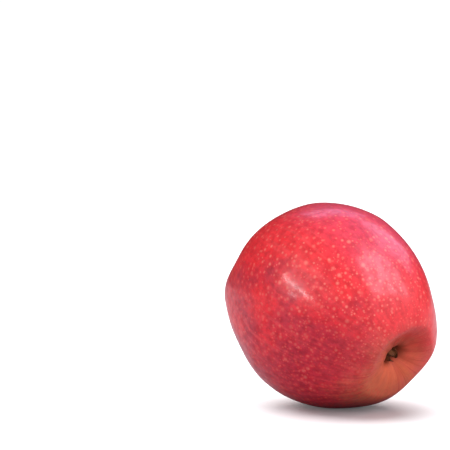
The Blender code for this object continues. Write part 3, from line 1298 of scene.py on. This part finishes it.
@dataclass(frozen=True)
class Pores:
    """The lenticels: pale dots with red halos, dimmer in patches, near the stem and on the crimson side."""

    colour: Colour = (252, 150, 128)
    patch: Numbers = (0.11, 2.0, 0.5)
    patch_edge: Numbers = (0.35, 0.62, 0.55, 1.0)
    stem_fade: Numbers = (0.62, 0.30, 0.75, 1.0)
    # Painted shade: the lenticels grow dimmer towards the crimson, lower side.
    crimson_shade_fade: Numbers = (0.25, 0.95, 1.0, 0.45)
    halo: float = 0.22
    faintest: float = 0.55

    def lay(self, g: PieceSurface, colour: Socket) -> tuple[Socket, Socket]:
        """Lays the three layers over a colour.

        Args:
            g: The skin's surface.
            colour: The skin's colour so far.

        Returns:
            The colour with the lenticels, and their mask for the bump.
        """
        patchy = g.spread(g.noise(g.place, self.patch), self.patch_edge)
        # Painted shade: the lenticels are dimmer towards the crimson, lower side.
        dim = g.spread(g.towards(CRIMSON_SHADE_SIDE), self.crimson_shade_fade)
        clear = g.times(patchy, g.spread(g.along, self.stem_fade), dim)
        mask = None
        for layer in LENTICELS:
            dots = g.dots(layer.dots)
            band = g.times(g.spread(g.along, layer.starts), g.spread(g.along, layer.ends))
            colour = g.over(colour, g.times(dots["Halo"], band, self.halo), VIVID)
            tones = (0.0, 1.0, self.faintest * layer.strength, layer.strength)
            dot = g.times(dots["Dot"], band, g.spread(dots["Tone"], tones), clear)
            colour = g.over(colour, dot, self.colour)
            mask = dot if mask is None else g.math("MAXIMUM", mask, dot)
        return colour, mask


@dataclass(frozen=True)
class SkinFinish:
    """Waxy red skin over an orange ground, with streaks that run from eye to stem and pale lenticels."""

    russet: Colour = (140, 108, 66)
    eye: Colour = (116, 66, 42)
    # Lilac film on the upper side: partly the skin's own wax bloom, partly a painted reflection of the bluish
    # surroundings.
    bloom_and_reflection: Colour = (186, 96, 146)
    bloom_reflection_side: float = 172.0
    bloom_reflection_edge: Numbers = (0.55, 0.95)
    bloom_reflection_start: Numbers = (0.25, 0.42)
    bloom_reflection_end: Numbers = (0.80, 0.62, 0.0, 0.22)
    grain: float = 0.9
    clouds: Numbers = (0.42, 4.0, 0.62)
    cloud_share: float = 0.58
    drawn: Numbers = (20.0, 34.0, 4.0)
    drawn_share: float = 0.42
    grain_mottle: Numbers = (0.35, 0.65, -0.07, 0.07)
    patch_mottle: Numbers = (0.34, 0.66, -0.22, 0.14)
    mottle_start: Numbers = (0.10, 0.24, 0.30, 1.0)
    rough_skin: Numbers = (11.0, 9.0, 5.0)
    cavity_jag: float = 0.16
    cavity_edge: Numbers = (0.98, 1.07)
    cavity_strength: float = 0.8
    eye_jag: float = 0.012
    eye_edge: Numbers = (0.046, 0.024)
    roughness: Numbers = (0.3, 0.7, 0.30, 0.42)
    pore_roughness: float = 0.15
    basin_roughness: Numbers = (0.12, 0.05, 0.0, 0.18)
    dry_roughness: float = 0.35
    basin_dull: Numbers = (0.20, 0.10)
    coat: Numbers = (0.0, 0.8, 0.55, 0.0)
    coat_patches: Numbers = (0.36, 0.60, 0.40, 1.20)
    coat_roughness: float = 0.15
    specular: Numbers = (0.08, 0.22, 0.14, 0.40)
    grain_height: float = 0.30
    pore_height: float = 0.35
    dry_height: float = 1.6
    bump: float = 0.06 * MM

    def make(self, effects: Effects) -> bpy.types.Material:
        """Builds the material.

        Args:
            effects: The shared effects.

        Returns:
            The finished material.
        """
        g = PieceSurface("apple_skin", effects)
        grain, clouds, rough = g.grain(self.grain), g.noise(g.place, self.clouds), g.streaks(self.rough_skin)
        colour = g.mix(Blush().share(g), GroundLayer().colour(g), RedLayer().colour(g))
        # Partly wax bloom, partly painted reflection: a lilac film laid on the upper side.
        bloom_and_reflection = g.times(
            g.spread(g.towards(self.bloom_reflection_side), self.bloom_reflection_edge),
            g.spread(g.along, self.bloom_reflection_start),
            g.spread(g.along, self.bloom_reflection_end),
        )
        colour = g.over(colour, bloom_and_reflection, self.bloom_and_reflection)
        patches = g.plus(g.times(clouds, self.cloud_share), g.times(g.streaks(self.drawn), self.drawn_share))
        mottle = g.plus(g.spread(grain, self.grain_mottle), g.spread(patches, self.patch_mottle))
        mottle = g.plus(g.times(mottle, g.spread(g.along, self.mottle_start)), 1.0)
        shade = g.fed("CombineColor", (mottle, mottle, mottle)).outputs[0]
        colour, pores = Pores().lay(g, g.mix(1.0, colour, shade, "MULTIPLY"))
        cavity = g.spread(g.plus(g.along, g.times(rough, self.cavity_jag)), self.cavity_edge)
        colour = g.over(colour, g.times(cavity, self.cavity_strength), self.russet)
        eye = g.spread(g.plus(g.along, g.times(rough, self.eye_jag)), self.eye_edge)
        g.dress("Base Color", g.over(colour, eye, self.eye))
        dry = g.math("MAXIMUM", cavity, eye)
        roughness = g.plus(
            g.spread(grain, self.roughness),
            g.times(pores, self.pore_roughness),
            g.spread(g.along, self.basin_roughness),
            g.times(dry, self.dry_roughness),
        )
        g.dress("Roughness", roughness)
        dull = g.math("MAXIMUM", dry, g.spread(g.along, self.basin_dull))
        g.dress("Coat Weight", g.times(g.spread(dull, self.coat), g.spread(clouds, self.coat_patches)))
        g.dress("Coat Roughness", self.coat_roughness)
        g.dress("Specular IOR Level", g.spread(g.along, self.specular))
        height = g.plus(
            g.times(grain, self.grain_height),
            g.times(pores, self.pore_height),
            g.times(dry, rough, self.dry_height),
        )
        g.raise_bump(height, self.bump)
        return g.material


@dataclass(frozen=True)
class StalkFinish:
    """Brown wood fibres, greener at the foot and pale at the torn end."""

    wood: Colour = (118, 82, 46)
    dark: Colour = (62, 40, 24)
    pale: Colour = (172, 138, 92)
    green: Colour = (128, 126, 62)
    fibres: Numbers = (9.0, 5.0, 5.0)
    grain: float = 3.0
    wood_edge: Numbers = (0.35, 0.62)
    pale_edge: Numbers = (0.58, 0.74, 0.0, 0.7)
    green_foot: Numbers = (0.30, 0.0, 0.0, 0.55)
    dark_grain: Numbers = (0.52, 0.70, 0.0, 0.5)
    torn_end: Numbers = (0.94, 0.97, 0.0, 0.6)
    dots: Numbers = (0.9, 0.18, 0.7)
    dot_strength: float = 0.55
    roughness: Numbers = (0.3, 0.7, 0.55, 0.85)
    fibre_height: float = 0.7
    grain_height: float = 0.4
    bump: float = 0.12 * MM

    def make(self, effects: Effects) -> bpy.types.Material:
        """Builds the material.

        Args:
            effects: The shared effects.

        Returns:
            The finished material.
        """
        g = PieceSurface("stalk_wood", effects)
        fibres, grain = g.streaks(self.fibres), g.grain(self.grain)
        colour = g.mix(g.spread(fibres, self.wood_edge), linear(self.dark), linear(self.wood))
        colour = g.over(colour, g.spread(fibres, self.pale_edge), self.pale)
        colour = g.over(colour, g.spread(g.along, self.green_foot), self.green)
        colour = g.over(colour, g.spread(grain, self.dark_grain), self.dark)
        colour = g.over(colour, g.spread(g.along, self.torn_end), self.pale)
        colour = g.over(colour, g.times(g.dots(self.dots)["Dot"], self.dot_strength), self.pale)
        g.dress("Base Color", colour)
        g.dress("Roughness", g.spread(grain, self.roughness))
        g.raise_bump(g.plus(g.times(fibres, self.fibre_height), g.times(grain, self.grain_height)), self.bump)
        return g.material


@dataclass(frozen=True)
class DryLeafFinish:
    """Brown, felted, dried leaf or thread, darker towards the tip."""

    name: str
    body: Colour
    tip: Colour
    vein: Colour
    around: float
    vein_length: float = 1.5
    vein_detail: float = 3.0
    grain: float = 4.0
    tip_start: Numbers = (0.35, 1.0)
    vein_edge: Numbers = (0.52, 0.70, 0.0, 0.6)
    dark_grain: Numbers = (0.50, 0.70, 0.0, 0.5)
    roughness: Numbers = (0.3, 0.7, 0.72, 0.95)
    specular: float = 0.25
    vein_height: float = 0.6
    grain_height: float = 0.5
    bump: float = 0.08 * MM

    def make(self, effects: Effects) -> bpy.types.Material:
        """Builds the material.

        Args:
            effects: The shared effects.

        Returns:
            The finished material.
        """
        g = PieceSurface(self.name, effects)
        veins, grain = g.streaks((self.around, self.vein_length, self.vein_detail)), g.grain(self.grain)
        colour = g.mix(g.spread(g.along, self.tip_start), linear(self.body), linear(self.tip))
        colour = g.over(colour, g.spread(veins, self.vein_edge), self.vein)
        colour = g.over(colour, g.spread(grain, self.dark_grain), self.tip)
        g.dress("Base Color", colour)
        g.dress("Roughness", g.spread(grain, self.roughness))
        g.dress("Specular IOR Level", self.specular)
        g.raise_bump(g.plus(g.times(veins, self.vein_height), g.times(grain, self.grain_height)), self.bump)
        return g.material


SEPAL_FINISH = DryLeafFinish("dried_sepal", (130, 80, 44), (78, 42, 24), (182, 132, 84), 6.0)
STAMEN_FINISH = DryLeafFinish("dried_stamen", (130, 84, 48), (80, 46, 26), (180, 134, 86), 3.0)


def facing(azimuth: float, elevation: float) -> Vector:
    """The direction from the apple towards a place at an azimuth and an elevation, in degrees."""
    a, e = radians(azimuth), radians(elevation)
    return Vector((sin(a) * cos(e), -cos(a) * cos(e), sin(e)))


@dataclass(frozen=True)
class View:
    """The camera: its direction from the core point, its lens, and where the core falls in the picture."""

    azimuth: float = 38.5
    elevation: float = 6.5
    clip: tuple[float, float] = (0.01, 50.0)
    lens: float = 180.0
    sensor: float = 36.0
    frame_width: float = 0.1697
    right: float = 0.0390
    below: float = 0.0288

    def build(self, core: Vector) -> None:
        """Places the camera so that the core point lies right of and below the picture's middle.

        Args:
            core: The apple's core point.
        """
        back = facing(self.azimuth, self.elevation)
        across = Vector((cos(radians(self.azimuth)), sin(radians(self.azimuth)), 0.0))
        up = back.cross(across)
        data = bpy.data.cameras.new("camera")
        data.lens = self.lens
        data.sensor_width = self.sensor
        data.clip_start, data.clip_end = self.clip
        camera = bpy.data.objects.new("camera", data)
        bpy.context.scene.collection.objects.link(camera)
        camera.location = core + back * (self.frame_width * self.lens / self.sensor)
        target = core - across * self.right + up * self.below
        camera.rotation_euler = (target - camera.location).to_track_quat("-Z", "Y").to_euler()
        bpy.context.scene.camera = camera


@dataclass(frozen=True)
class Lamp:
    """A rectangular soft light: where it stands round the apple, its size, and how bright its face is."""

    name: str
    azimuth: float
    elevation: float
    distance: float
    width: float
    height: float
    radiance: float
    roll: float = 0.0
    tint: tuple[float, float, float] = (1.0, 1.0, 1.0)

    def build(self, core: Vector, lit: bpy.types.Collection) -> None:
        """Places the light so that it faces the core point and reaches only one collection.

        Args:
            core: The apple's core point.
            lit: The collection of pieces that the light reaches.
        """
        data = bpy.data.lights.new(self.name, "AREA")
        data.shape = "RECTANGLE"
        data.size, data.size_y = self.width, self.height
        data.energy = self.radiance * pi * self.width * self.height
        data.color = self.tint
        light = bpy.data.objects.new(self.name, data)
        bpy.context.scene.collection.objects.link(light)
        away = facing(self.azimuth, self.elevation)
        light.location = core + away * self.distance
        aim = (-away).to_track_quat("-Z", "Y").to_matrix() @ Matrix.Rotation(radians(self.roll), 3, "Z")
        light.rotation_euler = aim.to_euler()
        light.light_linking.receiver_collection = lit


LAMPS = (
    Lamp("softbox", 101.0, 36.0, 1.1, 0.86, 0.74, 3.6, tint=(0.93, 0.83, 1.0)),
    Lamp("front_left", -8.0, 26.0, 1.3, 1.0, 0.8, 0.55),
    Lamp("front_strip", -15.0, 7.0, 0.9, 0.66, 0.050, 15.0, roll=-30.0),
    Lamp("front_strip_low", -10.0, -6.0, 0.9, 0.50, 0.028, 14.0, roll=-30.0),
    Lamp("back_panel", -145.0, 45.0, 1.2, 0.7, 0.4, 1.4, tint=(0.62, 0.60, 1.0)),
    Lamp("right_back_panel", 165.0, 38.0, 1.2, 0.7, 0.6, 2.0, tint=(0.75, 0.70, 1.0)),
)


@dataclass(frozen=True)
class Studio:
    """The white surroundings, the pale floor and the lights."""

    tint: tuple[float, float, float] = (0.97, 0.95, 1.0)
    bright_side: tuple[float, float] = (40.0, 22.0)
    brightest: float = 0.92
    glow_turn: tuple[float, float] = (-0.8, 0.6)
    dimmest: float = 0.08
    backdrop: float = 1.05
    floor_reach: float = 12.0
    floor: Colour = (252, 252, 253)
    # Painted shade: the floor's colour for every ray but the camera's, darker than the floor in view, so the
    # apple's underside gets less light.
    floor_painted_shade: Colour = (132, 123, 129)
    floor_glow: float = 0.08
    floor_roughness: float = 0.18
    floor_specular: float = 0.20
    floor_light: float = 7.4
    floor_light_turn: tuple[float, float] = (-112.0, 62.0)
    floor_light_spread: float = 88.0

    def build_world(self) -> None:
        """Makes the surroundings: soft light, brighter on one side, with plain white behind the apple."""
        world = bpy.data.worlds.new("white_room")
        world.use_nodes = True
        bpy.context.scene.world = world
        g = Graph(world.node_tree)
        glow = world.node_tree.nodes["Background"]
        glow.inputs["Color"].default_value = (*self.tint, 1.0)
        towards = g.dot(g.add("TexCoord").outputs["Generated"], tuple(facing(*self.bright_side)))
        strength = g.spread(towards, (*self.glow_turn, self.dimmest, self.brightest))
        g.feed(glow.inputs["Strength"], strength)
        behind = g.add("Background")
        behind.inputs["Strength"].default_value = self.backdrop
        behind.inputs["Color"].default_value = (1.0, 1.0, 1.0, 1.0)
        choice = g.add("MixShader")
        g.feed(choice.inputs[0], g.add("LightPath").outputs["Is Camera Ray"])
        g.feed(choice.inputs[1], glow.outputs[0])
        g.feed(choice.inputs[2], behind.outputs[0])
        g.feed(world.node_tree.nodes["World Output"].inputs["Surface"], choice.outputs[0])

    def build_floor(self) -> bpy.types.Object:
        """Makes the floor: one large pale square, slightly glossy, with painted shade so it throws little
        light upwards.

        Returns:
            The floor.
        """
        reach = self.floor_reach
        corners = [(-reach, -reach, 0.0), (reach, -reach, 0.0), (reach, reach, 0.0), (-reach, reach, 0.0)]
        mesh = bpy.data.meshes.new("floor")
        mesh.from_pydata(corners, [], [(0, 1, 2, 3)])
        floor = bpy.data.objects.new("floor", mesh)
        bpy.context.scene.collection.objects.link(floor)
        g = Surface("pale_floor")
        seen = g.add("LightPath").outputs["Is Camera Ray"]
        # Painted shade: rays other than the camera's meet a darker grey floor.
        g.dress("Base Color", g.mix(seen, linear(self.floor_painted_shade), linear(self.floor)))
        g.dress("Emission Color", (1.0, 1.0, 1.0, 1.0))
        g.dress("Emission Strength", g.times(seen, self.floor_glow))
        g.dress("Roughness", g.spread(seen, (0.0, 1.0, 1.0, self.floor_roughness)))
        g.dress("Specular IOR Level", self.floor_specular)
        mesh.materials.append(g.material)
        return floor

    def build_floor_light(self, floor: bpy.types.Object) -> None:
        """Makes a broad, even light that reaches only the floor, and that the apple still shades.

        Args:
            floor: The floor.
        """
        data = bpy.data.lights.new("floor_light", "SUN")
        data.energy = self.floor_light
        data.angle = radians(self.floor_light_spread)
        light = bpy.data.objects.new("floor_light", data)
        bpy.context.scene.collection.objects.link(light)
        away = facing(*self.floor_light_turn)
        light.rotation_euler = (-away).to_track_quat("-Z", "Y").to_euler()
        lit = bpy.data.collections.new("lit_by_floor_light")
        lit.objects.link(floor)
        light.light_linking.receiver_collection = lit

    def build(self, core: Vector) -> bpy.types.Collection:
        """Builds the surroundings, the floor, the lights and the camera.

        Args:
            core: The apple's core point.

        Returns:
            The collection that the lamps light, which the apple's pieces join.
        """
        self.build_world()
        self.build_floor_light(self.build_floor())
        lit = bpy.data.collections.new("lit_by_lamps")
        for lamp in LAMPS:
            lamp.build(core, lit)
        View().build(core)
        bpy.context.scene.view_settings.view_transform = "Standard"
        return lit


def put(
    piece: bpy.types.Object, node: str, finish: bpy.types.Material, lit: bpy.types.Collection
) -> None:
    """Gives a piece its finish and its place in the frame, and reports it.

    Args:
        piece: The finished piece.
        node: The CAD node that it stands for.
        finish: Its material.
        lit: The collection that the lamps light.
    """
    piece.data.materials.append(finish)
    lit.objects.link(piece)
    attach(piece, "root")
    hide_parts(node)
    log.info("%s stands for %s: %d faces, %s", piece.name, node, len(piece.data.polygons), finish.name)


def main() -> None:
    """Builds the studio and the apple's pieces in order."""
    logging.basicConfig(level=logging.INFO, format="%(name)s: %(message)s")
    form = AppleForm()
    place = Place.of(form)
    log.info("core point at %s", np.round(place.core / MM, 2))
    lit = Studio().build(Vector(place.core))
    effects = Effects.make()
    calyx = Calyx(form, place)
    sepal_finish = SEPAL_FINISH.make(effects)
    put(Fruit(form, place).build(), "fruit", SkinFinish().make(effects), lit)
    put(Stem(form, place).build(), "stem", StalkFinish().make(effects), lit)
    for number in range(calyx.sepal_count):
        put(calyx.sepal(number), f"sepal_{number + 1}", sepal_finish, lit)
    put(calyx.stamens(), "stamens", STAMEN_FINISH.make(effects), lit)


if __name__ == "__main__":
    main()
